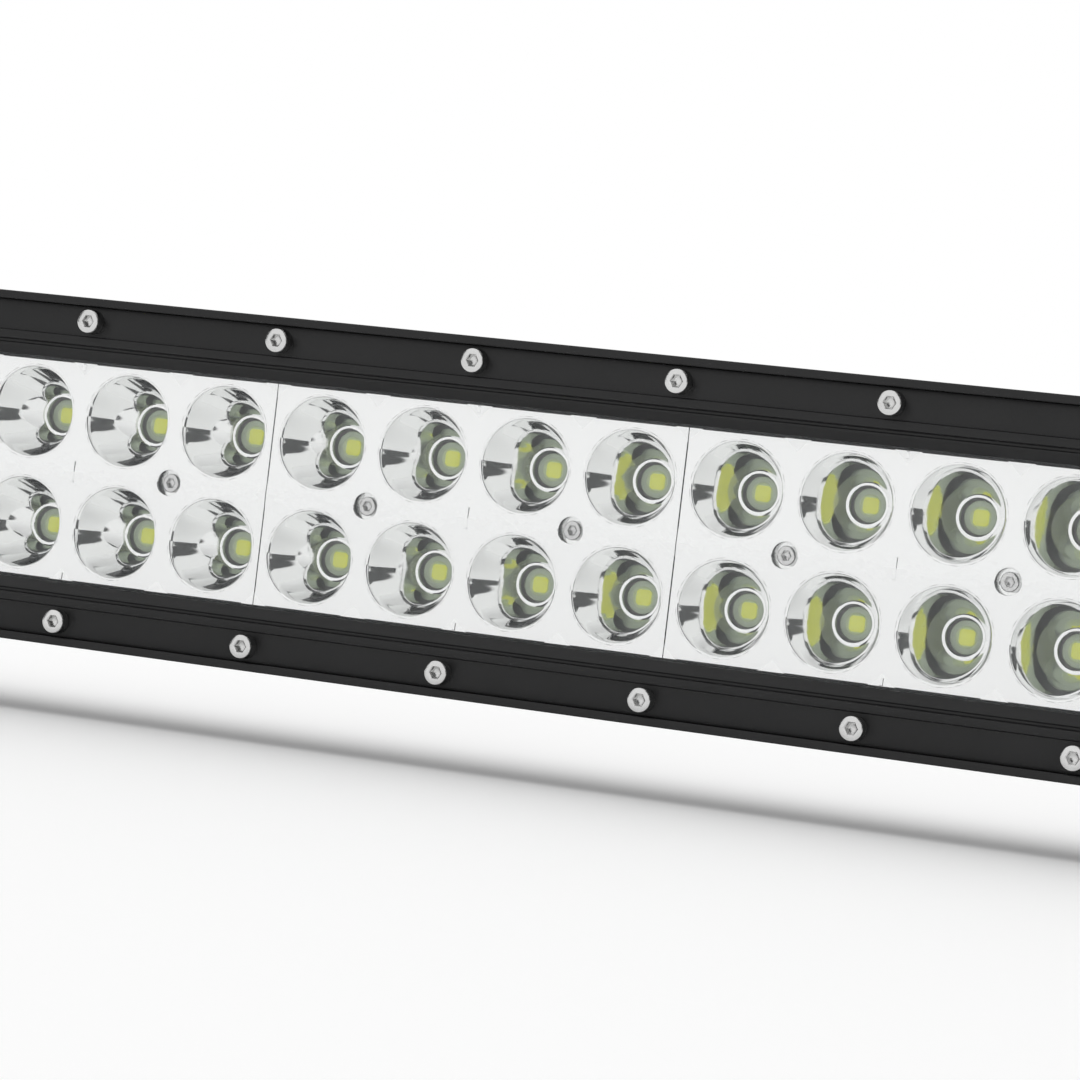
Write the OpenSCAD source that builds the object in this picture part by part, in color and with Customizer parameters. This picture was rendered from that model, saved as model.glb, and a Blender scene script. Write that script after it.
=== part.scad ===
// Double-row LED light bar on two tilting side brackets.
// X runs along the bar, -Y is the way the light shines, +Z is up.
// The origin is on the mounting surface, under the middle of the bar.
// Lamp coordinates: y is the depth behind the front lip, z is the height above the lamp's centre line.

/* [Lamp] */
// Number of reflector modules along the bar
module_count = 5; // [3:1:7]
// Height of the lamp's face
face_height = 80; // [78:0.5:84]
// Depth of the housing, from the front lip to the rear fins
housing_depth = 60; // [56:1:66]
// Thickness of the housing's front lip
lip_width = 1.9; // [1.5:0.1:2.2]

/* [Optics] */
// Distance between neighbouring reflector cups along the bar
cup_pitch = 25; // [24:0.5:28]
// Distance between the two rows of cups
row_pitch = 25.8; // [25:0.1:27]
// Diameter of a cup's mouth
cup_mouth = 20.6; // [18:0.2:21]
// Depth of a cup, from the plate's face to the rim of its hole
cup_depth = 14; // [13:0.5:14.5]
// Thickness of the clear front lens
lens_thickness = 2; // [1.5:0.1:2.2]

/* [Bezel] */
// Distance between neighbouring bezel screws
bezel_screw_pitch = 48.4; // [47:0.1:48.6]
// Bezel screws along one long rail
bezel_screw_count = 11; // [5:2:15]

/* [Brackets] */
// Height of the tilt axis above the mounting surface
pivot_height = 56; // [54:1:80]
// Thickness of the bracket plate
bracket_plate = 4; // [3:0.5:5]
// Width of a bracket's foot, front to back
foot_width = 50; // [46:1:60]
// Length of a bracket's foot, outwards from the plate
foot_reach = 28; // [26:1:40]
// Tilt to either side that the arc slot allows, in degrees
tilt_limit = 45; // [20:1:45]
// Length of the slot for the M8 mounting bolt
foot_slot_length = 14; // [10:1:16]

/* [Hidden] */
$fn = 48;
fit_gap = 0.05;

// Fasteners: radius of the shank, radius and height of the head, across-flats of the hexagon socket
m3_shank = 1.5;
m3_head = 2.75;
m3_head_height = 3;
m3_socket = 2.5;
m4_shank = 2;
m4_head = 3.8;
m4_head_height = 2.4;
m4_socket = 2.5;
m6_shank = 3;
m6_head = 5.25;
m6_head_height = 3.3;
m6_socket = 4;
m8_shank = 4;
m8_head = 7;
m8_head_height = 4.4;
m8_socket = 5;

// Lamp: depths behind the front lip
channel_y = 1.2;
shoulder_y = 4.2;
lens_y = 3;
gasket_y = lens_y + lens_thickness;
ledge_y = gasket_y + 1;
plate_y = gasket_y + 0.5;
rim_to_board = 3.8;
board_y = plate_y + cup_depth + rim_to_board;
board_thickness = 1.6;
pad_thickness = 0.4;
floor_y = board_y + board_thickness + pad_thickness;
floor_thickness = 4;
floor_back = floor_y + floor_thickness;

// Lamp: heights above and below the centre line
half_face = face_height / 2;
bezel_outer = half_face - lip_width - 0.1;
bezel_inner = 25.6;
lens_half = 28.4;
lens_seat = 28.7;
cavity_half = 25.9;
screw_line = (bezel_outer + 31.1) / 2;

// Lamp: places along the bar
cups_per_row = 4;
module_length = cups_per_row * cup_pitch;
field_length = module_count * module_length;
opening_half = field_length / 2 + 0.6;
frame_width = bezel_outer - bezel_inner;
cap_outer = opening_half + frame_width + lip_width + 0.1;
cap_thickness = 10;
cap_inner = cap_outer - cap_thickness;
end_gasket = 1;
housing_half = cap_inner - end_gasket;
lens_end = opening_half + lens_half - bezel_inner;
tongue_end = opening_half + 0.3;
end_screw_x = opening_half + screw_line - bezel_inner;

// Driver chamber behind the floor
chamber_half = 17;
chamber_wall = 2.5;
chamber_back = floor_back + 18.5;
rear_wall = chamber_back + chamber_wall;
driver_y = floor_back + 2.4;
driver_length = 190;
driver_half = 17.8;

// Screw ports of the housing, as [depth, height]
port_radius = m4_shank + fit_gap;
shoulder_port = [14.2, 35.2];
floor_port = [floor_back + 2.5, 33.5];
chamber_port = [chamber_back - 2.5, 14.5];
ports = [for (p = [shoulder_port, floor_port, chamber_port], s = [-1, 1]) [p[0], s * p[1]]];

// Cable gland and breather on the rear wall
gland_x = -0.4 * field_length;
breather_x = -gland_x;
gland_thread = 6;
gland_hex = 17;
gland_collar = 4;
gland_cap_length = 11;
gland_tip = rear_wall + gland_collar + gland_cap_length;
cable_radius = 3.2;
seal_length = 8;
pocket_half = 14;

// Brackets
pivot_y = 30;
boss_height = 3;
boss_face = cap_outer + boss_height;
bush_thickness = 1;
bracket_gap = 0.15;
bracket_inner = boss_face + bush_thickness + bracket_gap;
bracket_outer = bracket_inner + bracket_plate;
washer_thickness = 1.5;
head_seat = bracket_outer + bracket_gap + washer_thickness;
pivot_radius = 17;
lock_radius = 22;
pivot_bush = 12;
lock_bush = 6.6;
m8_clearance = 4.25;

// Depth in lamp coordinates that lies over the origin
middle_y = (gland_tip + channel_y - m3_head_height) / 2;

module_centres = [for (i = [0 : module_count - 1]) (i - (module_count - 1) / 2) * module_length];
cup_places = [for (i = [0 : cups_per_row - 1], s = [-1, 1])
    [(i - (cups_per_row - 1) / 2) * cup_pitch, s * row_pitch / 2]];
post_places = [-cup_pitch, cup_pitch];
bezel_screw_places = [for (i = [0 : bezel_screw_count - 1])
    (i - (bezel_screw_count - 1) / 2) * bezel_screw_pitch];
end_screw_places = [-14, 14];

modules = [for (i = [1 : module_count]) i];

// ---- Placing ----

// From lamp coordinates to the part's own frame
module lamp() {
    translate([0, -middle_y, pivot_height]) children();
}

// A [depth, height] outline drawn out along the bar
module along_bar(from, to) {
    translate([from, 0, 0]) rotate([90, 0, 90]) linear_extrude(to - from) children();
}

// An [x, z] outline drawn out backwards, in depth
module in_depth(from, to) {
    translate([0, to, 0]) rotate([90, 0, 0]) linear_extrude(to - from) children();
}

// A cylinder that runs backwards, in depth
module depth_rod(x, z, radius, from, to, sides = 48) {
    translate([x, from, z]) rotate([-90, 0, 0]) cylinder(h = to - from, r = radius, $fn = sides);
}

// A cylinder that runs along the bar
module bar_rod(y, z, radius, from, to, sides = 48) {
    translate([from, y, z]) rotate([0, 90, 0]) cylinder(h = to - from, r = radius, $fn = sides);
}

// The right-hand end as drawn (side = 1), or mirrored to the left (side = -1)
module at_end(side) {
    mirror([side < 0 ? 1 : 0, 0, 0]) children();
}

// Circumscribed radius of a hexagon with these flats
function hex_radius(flats) = flats / 2 / cos(30);

// Cap screw along +Z: head from 0 to height, shank below, hexagon socket in the head
module cap_screw(shank, head, height, socket, length) {
    difference() {
        union() {
            cylinder(h = height, r = head);
            translate([0, 0, -length]) cylinder(h = length, r = shank);
        }
        translate([0, 0, height * 0.45]) cylinder(h = height, r = hex_radius(socket), $fn = 6);
    }
}

// ---- Housing ----

// Everything behind the lip lies inside this outline
module lamp_outline() {
    intersection() {
        translate([0, -half_face]) square([housing_depth, face_height]);
        translate([10, 0]) circle(r = housing_depth - 10, $fn = 128);
    }
}

// Slots between the cooling fins on the top and bottom faces
module side_slots() {
    for (y = [floor_y - 6.6, floor_y - 2.2], s = [-1, 1])
        translate([y, s > 0 ? 30.5 : -half_face - 1]) square([2.6, half_face - 29.5]);
}

// Cooling fins behind the floor
module rear_fins() {
    for (s = [-1, 1], i = [0 : 3])
        translate([floor_back - 1, s * (23.5 + 4.8 * i) - 0.9]) square([40, 1.8]);
    for (i = [-3 : 3])
        translate([rear_wall - 1, 5.2 * i - 0.8]) square([20, 1.6]);
}

module housing_profile() {
    difference() {
        intersection() {
            lamp_outline();
            union() {
                translate([0, -half_face]) square([floor_back, face_height]);
                translate([floor_back - 1, -chamber_half - chamber_wall])
                    square([rear_wall - floor_back + 1, 2 * (chamber_half + chamber_wall)]);
                rear_fins();
                for (s = [-1, 1]) translate([floor_port[0], s * floor_port[1]]) circle(r = 3.6);
            }
        }
        translate([-1, -half_face + lip_width]) square([shoulder_y + 1, face_height - 2 * lip_width]);
        translate([-1, -lens_seat]) square([ledge_y + 1, 2 * lens_seat]);
        translate([0, -cavity_half]) square([floor_y, 2 * cavity_half]);
        difference() {
            union() {
                translate([floor_back, -chamber_half]) square([chamber_back - floor_back, 2 * chamber_half]);
                translate([driver_y - 0.2, -driver_half - 0.2]) square([2, 2 * driver_half + 0.4]);
            }
            for (s = [-1, 1]) translate([chamber_port[0], s * chamber_port[1]]) circle(r = 3.6);
        }
        side_slots();
        for (p = ports) translate(p) circle(r = port_radius);
    }
}

module housing() {
    color("#26272a") lamp() difference() {
        along_bar(-housing_half, housing_half) housing_profile();
        for (x = bezel_screw_places, s = [-1, 1])
            depth_rod(x, s * screw_line, m3_shank + fit_gap, shoulder_y - 1, shoulder_y + 7.5);
        for (m = module_centres, x = post_places)
            depth_rod(m + x, 0, m3_shank + fit_gap, floor_y - 1, floor_y + 3.4);
        depth_rod(0, 0, 2.6, floor_y - 1, floor_back + 1);
        for (x = [gland_x, breather_x])
            in_depth(rear_wall, housing_depth + 1)
                translate([x, 0]) square([2 * pocket_half, 2 * chamber_half + 3.4], center = true);
        depth_rod(gland_x, 0, gland_thread + fit_gap, chamber_back - 1, rear_wall + 1);
        depth_rod(breather_x, 0, m6_shank + fit_gap, chamber_back - 1, rear_wall + 1);
    }
}

// ---- End caps ----

module end_cap(side) {
    color("#26272a") lamp() at_end(side) difference() {
        union() {
            along_bar(cap_inner, cap_outer) lamp_outline();
            along_bar(tongue_end, cap_inner + 1)
                translate([ledge_y, -cavity_half + 0.2]) square([floor_y - ledge_y - 0.2, 2 * cavity_half - 0.4]);
            bar_rod(pivot_y, 0, pivot_bush, cap_outer - 1, boss_face);
            bar_rod(pivot_y, -lock_radius, lock_bush, cap_outer - 1, boss_face);
        }
        translate([0, -1, -half_face + lip_width])
            cube([cap_outer - lip_width, shoulder_y + 1, face_height - 2 * lip_width]);
        translate([0, -1, -lens_seat]) cube([lens_end + 0.3, ledge_y + 1, 2 * lens_seat]);
        translate([tongue_end - 1, ledge_y + 3, -cavity_half + 3])
            cube([cap_inner - tongue_end - 1, floor_y, 2 * cavity_half - 6]);
        translate([cap_inner - 1, floor_back + 2, -11]) cube([4, 14, 22]);
        for (p = ports) bar_rod(p[0], p[1], port_radius, cap_inner - 1, cap_outer + 1);
        for (z = end_screw_places)
            depth_rod(end_screw_x, z, m3_shank + fit_gap, shoulder_y - 1, shoulder_y + 7.5);
        bar_rod(pivot_y, 0, m8_shank + fit_gap, cap_inner + 3.4, boss_face + 1);
        bar_rod(pivot_y, -lock_radius, m6_shank + fit_gap, cap_inner + 3.4, boss_face + 1);
    }
}

module end_gasket(side) {
    color("#3a3a3c") lamp() at_end(side) along_bar(housing_half, cap_inner) difference() {
        intersection() {
            lamp_outline();
            translate([ledge_y + 1.5, -half_face + 0.8]) square([housing_depth, face_height - 1.6]);
        }
        translate([0, -cavity_half]) square([floor_y, 2 * cavity_half]);
        translate([floor_back, -11]) square([chamber_back - floor_back, 22]);
        for (p = ports) translate(p) circle(r = port_radius);
    }
}

module end_cap_screws(side) {
    color("#c9cbcd") lamp() at_end(side) for (p = ports)
        translate([cap_outer, p[0], p[1]]) rotate([0, 90, 0])
            cap_screw(m4_shank, m4_head, m4_head_height, m4_socket, cap_thickness + 8);
}

// ---- Bezel ----

// Section of a bezel rail as [depth, height]: channel, raised ridge, land and inner band
module bezel_profile() {
    polygon([
        [shoulder_y, bezel_outer], [channel_y, bezel_outer], [channel_y, 31.1],
        [0.1, 30.9], [0.1, 29.2], [0.9, 28.8], [0.9, 27.9], [1.7, 27.5], [2.2, bezel_inner],
        [lens_y, bezel_inner], [lens_y, lens_seat], [shoulder_y, lens_seat]]);
}

// Outline in x and z that mitres a rail whose long edges are half_length and half_length + width
module mitre(half_length, inner, width) {
    polygon([
        [-half_length, inner], [-half_length - width, inner + width],
        [half_length + width, inner + width], [half_length, inner]]);
}

module bezel_long(side) {
    color("#1d1e20") lamp() mirror([0, 0, side < 0 ? 1 : 0]) difference() {
        intersection() {
            along_bar(-cap_outer, cap_outer) bezel_profile();
            in_depth(-1, shoulder_y + 1) mitre(opening_half, bezel_inner, frame_width);
        }
        for (x = bezel_screw_places)
            depth_rod(x, screw_line, m3_shank + fit_gap, -1, shoulder_y + 1);
    }
}

module bezel_short(side) {
    reach = opening_half - bezel_inner;
    color("#1d1e20") lamp() at_end(side) difference() {
        intersection() {
            translate([reach, 0, 0]) rotate([0, 90, 0]) along_bar(-half_face, half_face) bezel_profile();
            in_depth(-1, shoulder_y + 1) translate([reach, 0]) rotate(-90)
                mitre(bezel_inner, bezel_inner, frame_width);
        }
        for (z = end_screw_places)
            depth_rod(end_screw_x, z, m3_shank + fit_gap, -1, shoulder_y + 1);
    }
}

// One socket-head screw in the bezel's channel
module bezel_screw(x, z) {
    translate([x, channel_y, z]) rotate([90, 0, 0])
        cap_screw(m3_shank, m3_head, m3_head_height, m3_socket, 10);
}

module bezel_screws_long(side) {
    color("#d6d8da") lamp() for (x = bezel_screw_places) bezel_screw(x, side * screw_line);
}

module bezel_screws_ends() {
    color("#d6d8da") lamp() for (s = [-1, 1], z = end_screw_places) bezel_screw(s * end_screw_x, z);
}

// ---- Lens and its seal ----

module lens() {
    color("#e8f2f6", 0.3) lamp() in_depth(lens_y, gasket_y)
        square([2 * lens_end, 2 * lens_half], center = true);
}

module lens_gasket() {
    color("#3a3a3c") lamp() in_depth(gasket_y, ledge_y) difference() {
        square([2 * lens_end, 2 * lens_half], center = true);
        square([2 * tongue_end, 2 * cavity_half], center = true);
    }
}

// ---- Reflectors ----

cup_base = 4.8;
cup_hole = 4.15;
cup_steps = 10;
cup_wall = 0.9;

// Radius of a parabolic cup at a share of its depth, 0 at the mouth and 1 at the base
function cup_radius(share) = sqrt(cup_base ^ 2 + ((cup_mouth / 2) ^ 2 - cup_base ^ 2) * (1 - share));

// Section of a cup as [radius, depth]: parabola, and a flat rim round the hole
module cup_profile() {
    inside = [for (i = [0 : cup_steps]) [cup_radius(i / cup_steps), cup_depth * i / cup_steps]];
    outside = [for (i = [cup_steps : -1 : 0])
        [cup_radius(i / cup_steps) + cup_wall, cup_depth * i / cup_steps]];
    rim = [[cup_hole, cup_depth], [cup_hole, cup_depth + cup_wall], [cup_base + cup_wall, cup_depth + cup_wall]];
    polygon(concat(inside, rim, outside));
}

// Marks pressed into a plate's face: a diamond on each seam and in the middle, and a rib over the middle one
module plate_marks(half_length, half_height) {
    raised = 0.3;
    intersection() {
        for (x = [-module_length / 2, 0, module_length / 2])
            translate([x, 0, 0]) rotate([90, 0, 0]) cylinder(h = raised, r1 = 3, r2 = 2.6, $fn = 4);
        cube(2 * [half_length, 1, half_height], center = true);
    }
    translate([-0.5, -0.4, -2.5]) cube([1, 0.5, 5]);
}

module reflector(centre) {
    half_length = module_length / 2 - 0.05;
    half_height = 25.3;
    skirt = 4;
    counterbore = 2.9;
    seat = 3.4;
    color("#e4e6e8") lamp() translate([centre, plate_y, 0]) difference() {
        union() {
            difference() {
                union() {
                    in_depth(0, 1.4) square(2 * [half_length, half_height], center = true);
                    in_depth(0, skirt) difference() {
                        square(2 * [half_length, half_height], center = true);
                        square(2 * [half_length - 1, half_height - 1], center = true);
                    }
                }
                for (p = cup_places) depth_rod(p[0], p[1], (cup_mouth + cup_wall) / 2, -1, skirt + 1);
            }
            for (p = cup_places) translate([p[0], 0, p[1]]) rotate([-90, 0, 0])
                rotate_extrude($fn = 64) cup_profile();
            for (x = post_places) depth_rod(x, 0, 3.9, 0.5, board_y - plate_y);
            plate_marks(half_length, half_height);
        }
        for (x = post_places) {
            depth_rod(x, 0, counterbore, -1, seat);
            depth_rod(x, 0, m3_shank + fit_gap, seat - 1, board_y);
        }
        for (s = [-1, 1]) translate([s * half_length, 0, 0])
            cube([0.8, 2 * skirt + 1, 5], center = true);
    }
}

module reflector_screws() {
    color("#c9cbcd") lamp() for (m = module_centres, x = post_places)
        translate([m + x, plate_y + 3.4, 0]) rotate([90, 0, 0])
            cap_screw(m3_shank, 2.15, 2.6, 2, floor_y - plate_y - 0.4);
}

// ---- Circuit boards and LEDs ----

module led_board(centre) {
    color("#e9ebe8") lamp() translate([centre, 0, 0]) in_depth(board_y, board_y + board_thickness)
        difference() {
            square([module_length - 0.4, 50], center = true);
            for (x = post_places) translate([x, 0]) circle(r = m3_shank + 0.2);
            circle(r = 2.6);
        }
}

// LED package, in millimetres above the board
led_body = 1.6;
led_recess = 1.1;

// A shape turned round every LED's axis, drawn as [radius, height above the board]
module at_leds() {
    lamp() for (m = module_centres, p = cup_places)
        translate([m + p[0], board_y, p[1]]) rotate([90, 0, 0]) rotate_extrude() children();
}

module led_bodies() {
    color("#dfe2dc") at_leds()
        polygon([[0, 0], [3.8, 0], [3.8, led_body], [2.4, led_body], [2.1, led_recess], [0, led_recess]]);
}

module led_chips() {
    color("#d8d62a") at_leds() polygon([[0, led_recess], [1.8, led_recess], [1.8, 1.4], [0, 1.4]]);
}

module led_domes() {
    color("#dfe9dc", 0.4) at_leds()
        polygon([[0, led_body], [3.7, led_body], [3.7, 2.1], [2.7, 2.1], [2.55, 2.7], [2.2, 3.3],
                 [1.7, 3.8], [0.9, 4.15], [0, 4.25]]);
}

module board_jumpers() {
    seams = [for (i = [1 : module_count - 1]) (i - module_count / 2) * module_length];
    color("#f0f0ee") lamp() for (x = seams, s = [-1, 1])
        translate([x - 5, board_y - 1.2, s * 3.4 - 1.1]) cube([10, 1.2, 2.2]);
}

module thermal_pad() {
    color("#b9bec2") lamp() in_depth(board_y + board_thickness, floor_y) difference() {
        square([field_length - 0.6, 50], center = true);
        for (m = module_centres, x = post_places) translate([m + x, 0]) circle(r = m3_shank + 0.2);
        circle(r = 2.6);
    }
}

// ---- Driver ----

driver_back = driver_y + 1.6;

module driver_board() {
    color("#1f6b3a") lamp() in_depth(driver_y, driver_back)
        square([driver_length, 2 * driver_half], center = true);
}

module driver_inductors() {
    color("#3b3b3d") lamp() for (i = [-2 : 2]) translate([i * 36, driver_back, -5])
        rotate([-90, 0, 0]) difference() {
            cylinder(h = 7, r = 6);
            translate([0, 0, 5.5]) cylinder(h = 2, r = 3.2);
        }
}

module driver_capacitors() {
    color("#2b3350") lamp() for (i = [-2 : 2])
        depth_rod(i * 36 + 13, 5.5, 4, driver_back, driver_back + 10.5);
}

module driver_chips() {
    color("#17181a") lamp() for (i = [-2 : 2]) {
        translate([i * 36 - 4, driver_back, 6]) cube([8, 2, 5]);
        translate([i * 36 + 14, driver_back, -9]) cube([6, 1.6, 8]);
    }
}

// Two wires through the housing's floor, from the driver to the middle LED board
module lead_wires() {
    wire = 0.7;
    color("#b3261e") lamp() for (s = [-1, 1]) {
        depth_rod(0, s * 1.2, wire, board_y - wire, driver_y, 24);
        translate([0, board_y - wire, s * 1.2]) sphere(r = wire, $fn = 24);
        translate([0, board_y - wire, s > 0 ? 1.2 : -4.2]) cylinder(h = 3, r = wire, $fn = 24);
    }
}

// ---- Cable gland and breather ----

module gland_body() {
    color("#1b1b1d") lamp() difference() {
        union() {
            depth_rod(gland_x, 0, gland_thread, chamber_back - 5.5, rear_wall);
            depth_rod(gland_x, 0, hex_radius(gland_hex), rear_wall, rear_wall + gland_collar, 6);
        }
        depth_rod(gland_x, 0, 4, chamber_back - 6, rear_wall + gland_collar + 1);
    }
}

module gland_nut() {
    color("#1b1b1d") lamp() difference() {
        depth_rod(gland_x, 0, hex_radius(gland_hex), chamber_back - 3.5, chamber_back, 6);
        depth_rod(gland_x, 0, gland_thread + fit_gap, chamber_back - 4, chamber_back + 1);
    }
}

module gland_seal() {
    start = rear_wall + gland_collar;
    color("#4a4a4d") lamp() difference() {
        depth_rod(gland_x, 0, 5.4, start, start + seal_length);
        depth_rod(gland_x, 0, cable_radius, start - 1, start + seal_length + 1);
    }
}

module gland_cap() {
    start = rear_wall + gland_collar;
    color("#1b1b1d") lamp() translate([gland_x, start, 0]) rotate([-90, 0, 0])
        rotate_extrude() polygon([
            [5.5, 0], [8.4, 0], [8.4, 7], [7.6, 9.2], [6, gland_cap_length - 0.5], [5, gland_cap_length],
            [cable_radius + 0.5, gland_cap_length], [cable_radius + 0.5, seal_length + 0.2],
            [5.5, seal_length + 0.2]]);
}

module breather() {
    color("#1b1b1d") lamp() difference() {
        union() {
            depth_rod(breather_x, 0, m6_shank, chamber_back - 2, rear_wall);
            depth_rod(breather_x, 0, 5.5, rear_wall, rear_wall + 3);
        }
        depth_rod(breather_x, 0, 1, chamber_back - 3, rear_wall + 4);
        for (a = [0 : 60 : 300]) translate([breather_x, 0, 0]) rotate([0, a, 0])
            depth_rod(5.7, 0, 0.7, rear_wall + 1, rear_wall + 4, 24);
    }
}

// ---- Brackets ----

// Point where a line from outside touches a circle round [0, 0], on the side of +y
function touch(point, radius) =
    let (reach = norm(point), lean = acos(radius / reach), way = atan2(point[1], point[0]))
    radius * [cos(way + lean), sin(way + lean)];

// Side view of a bracket about its pivot: round top, widening to the foot
module bracket_outline() {
    half = foot_width / 2;
    corner = [half, -lock_radius - 4];
    tangent = touch(corner, pivot_radius);
    circle(r = pivot_radius, $fn = 96);
    polygon([[-half, -pivot_height - 1], [half, -pivot_height - 1], corner, tangent,
             [-tangent[0], tangent[1]], [-corner[0], corner[1]]]);
}

// Arc slot round the pivot, closed by a round end at each limit of the tilt
module arc_slot(half_width) {
    reach = lock_radius + 20;
    intersection() {
        difference() {
            circle(r = lock_radius + half_width, $fn = 128);
            circle(r = lock_radius - half_width, $fn = 128);
        }
        polygon([[0, 0], reach * [-sin(tilt_limit), -cos(tilt_limit)], [0, -2 * reach],
                 reach * [sin(tilt_limit), -cos(tilt_limit)]]);
    }
    for (a = [-tilt_limit, tilt_limit])
        translate(lock_radius * [sin(a), -cos(a)]) circle(r = half_width);
}

// Section in x and z of the bent plate: upright, bend and foot
module bent_plate() {
    bend = 4;
    translate([0, bend + bracket_plate - 0.01]) square([bracket_plate, pivot_height + 20]);
    translate([bend + bracket_plate - 0.01, 0]) square([foot_reach - bend, bracket_plate]);
    intersection() {
        square(bend + bracket_plate);
        translate([bend + bracket_plate, bend + bracket_plate]) difference() {
            circle(r = bend + bracket_plate, $fn = 64);
            circle(r = bend, $fn = 64);
        }
    }
}

module bracket(side) {
    foot_end = bracket_inner + bracket_plate + foot_reach;
    slot_x = (bracket_outer + 4 + foot_end) / 2;
    slot_travel = foot_slot_length / 2 - m8_clearance;
    color("#1d1e20") at_end(side) difference() {
        intersection() {
            translate([0, pivot_y - middle_y, 0]) in_depth(-foot_width / 2, foot_width / 2)
                translate([bracket_inner, 0]) bent_plate();
            translate([0, pivot_y - middle_y, pivot_height])
                along_bar(bracket_inner - 1, foot_end + 1) bracket_outline();
        }
        translate([0, pivot_y - middle_y, pivot_height]) {
            along_bar(bracket_inner - 1, bracket_outer + 1) arc_slot(m6_shank + 0.3);
            bar_rod(0, 0, m8_shank + 0.08, bracket_inner - 1, bracket_outer + 1);
        }
        translate([slot_x, pivot_y - middle_y, -1]) linear_extrude(bracket_plate + 2) {
            for (s = [-1, 1]) translate([s * slot_travel, 0]) circle(r = m8_clearance);
            square([2 * slot_travel, 2 * m8_clearance], center = true);
        }
    }
}

// A bolt along the bar, its head outside the bracket
module side_bolt(side, height, shank, head, head_height, socket) {
    color("#c9cbcd") lamp() at_end(side) translate([head_seat, pivot_y, height]) rotate([0, 90, 0])
        cap_screw(shank, head, head_height, socket, head_seat - cap_inner - 4);
}

// A flat ring along the bar, such as a washer or a bush
module side_ring(side, height, hole, radius, from, to) {
    lamp() at_end(side) difference() {
        bar_rod(pivot_y, height, radius, from, to);
        bar_rod(pivot_y, height, hole + 0.1, from - 1, to + 1);
    }
}

module pivot_bolt(side) side_bolt(side, 0, m8_shank, m8_head, m8_head_height, m8_socket);

module lock_bolt(side) side_bolt(side, -lock_radius, m6_shank, m6_head, m6_head_height, m6_socket);

module pivot_bush(side) {
    color("#3a3a3c")
        side_ring(side, 0, m8_shank, pivot_bush - 0.5, boss_face, boss_face + bush_thickness);
}

module pivot_washer(side) {
    color("#c9cbcd") side_ring(side, 0, m8_shank, 8, head_seat - washer_thickness, head_seat);
}

module lock_washer(side) {
    color("#c9cbcd")
        side_ring(side, -lock_radius, m6_shank, 6.4, head_seat - washer_thickness, head_seat);
}

// ---- Nodes ----

housing();
end_cap(-1);  // end_cap_left
end_cap(1);  // end_cap_right
end_gasket(-1);  // end_gasket_left
end_gasket(1);  // end_gasket_right
end_cap_screws(-1);  // end_cap_screws_left
end_cap_screws(1);  // end_cap_screws_right
bezel_long(1);  // bezel_top
bezel_long(-1);  // bezel_bottom
bezel_short(-1);  // bezel_left
bezel_short(1);  // bezel_right
bezel_screws_long(1);  // bezel_screws_top
bezel_screws_long(-1);  // bezel_screws_bottom
bezel_screws_ends();
lens();
lens_gasket();
reflector_screws();
thermal_pad();
board_jumpers();
led_bodies();
led_chips();
led_domes();
driver_board();
driver_inductors();
driver_capacitors();
driver_chips();
lead_wires();
gland_body();
gland_nut();
gland_seal();
gland_cap();
breather();
bracket(-1);  // bracket_left
bracket(1);  // bracket_right
pivot_bolt(-1);  // pivot_bolt_left
pivot_bolt(1);  // pivot_bolt_right
pivot_bush(-1);  // pivot_bush_left
pivot_bush(1);  // pivot_bush_right
pivot_washer(-1);  // pivot_washer_left
pivot_washer(1);  // pivot_washer_right
lock_bolt(-1);  // lock_bolt_left
lock_bolt(1);  // lock_bolt_right
lock_washer(-1);  // lock_washer_left
lock_washer(1);  // lock_washer_right
for (i = modules) {
    reflector(module_centres[i - 1]);
    led_board(module_centres[i - 1]);
}
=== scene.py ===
import math

import bmesh
import bpy
from mathutils import Matrix, Vector
from mathutils.geometry import delaunay_2d_cdt, tessellate_polygon


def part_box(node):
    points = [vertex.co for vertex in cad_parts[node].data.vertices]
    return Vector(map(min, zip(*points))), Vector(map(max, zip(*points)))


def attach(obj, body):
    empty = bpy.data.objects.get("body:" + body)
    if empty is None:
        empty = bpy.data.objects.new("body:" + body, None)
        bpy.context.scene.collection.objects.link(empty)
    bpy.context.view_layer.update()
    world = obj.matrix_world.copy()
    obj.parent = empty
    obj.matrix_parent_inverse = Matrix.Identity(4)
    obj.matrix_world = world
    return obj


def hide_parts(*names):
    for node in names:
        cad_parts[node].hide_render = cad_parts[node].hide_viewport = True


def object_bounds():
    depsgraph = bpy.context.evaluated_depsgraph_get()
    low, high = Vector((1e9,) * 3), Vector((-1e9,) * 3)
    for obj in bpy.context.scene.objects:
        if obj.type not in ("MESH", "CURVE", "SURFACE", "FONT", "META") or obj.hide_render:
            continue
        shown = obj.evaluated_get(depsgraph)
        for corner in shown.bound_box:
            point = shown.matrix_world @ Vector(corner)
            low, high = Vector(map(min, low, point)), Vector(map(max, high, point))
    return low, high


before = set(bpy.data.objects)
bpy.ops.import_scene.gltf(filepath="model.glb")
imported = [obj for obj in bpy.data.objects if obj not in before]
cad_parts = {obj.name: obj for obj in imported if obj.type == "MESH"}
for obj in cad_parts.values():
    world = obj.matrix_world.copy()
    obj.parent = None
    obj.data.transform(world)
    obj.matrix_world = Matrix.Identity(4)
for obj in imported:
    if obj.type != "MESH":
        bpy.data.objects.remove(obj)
start_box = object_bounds()

# Lamp coordinates, in millimetres: x along the bar, y behind the front lip, z above its centre line
MM = 0.001
LIP_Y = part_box("housing")[0].y
CENTRE_Z = (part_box("housing")[0].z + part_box("housing")[1].z) / 2
FLOOR_Z = start_box[0][2]


def place(x, y, z):
    """A point in the scene, in metres, from lamp coordinates."""
    return (x * MM, LIP_Y + y * MM, CENTRE_Z + z * MM)


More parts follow.
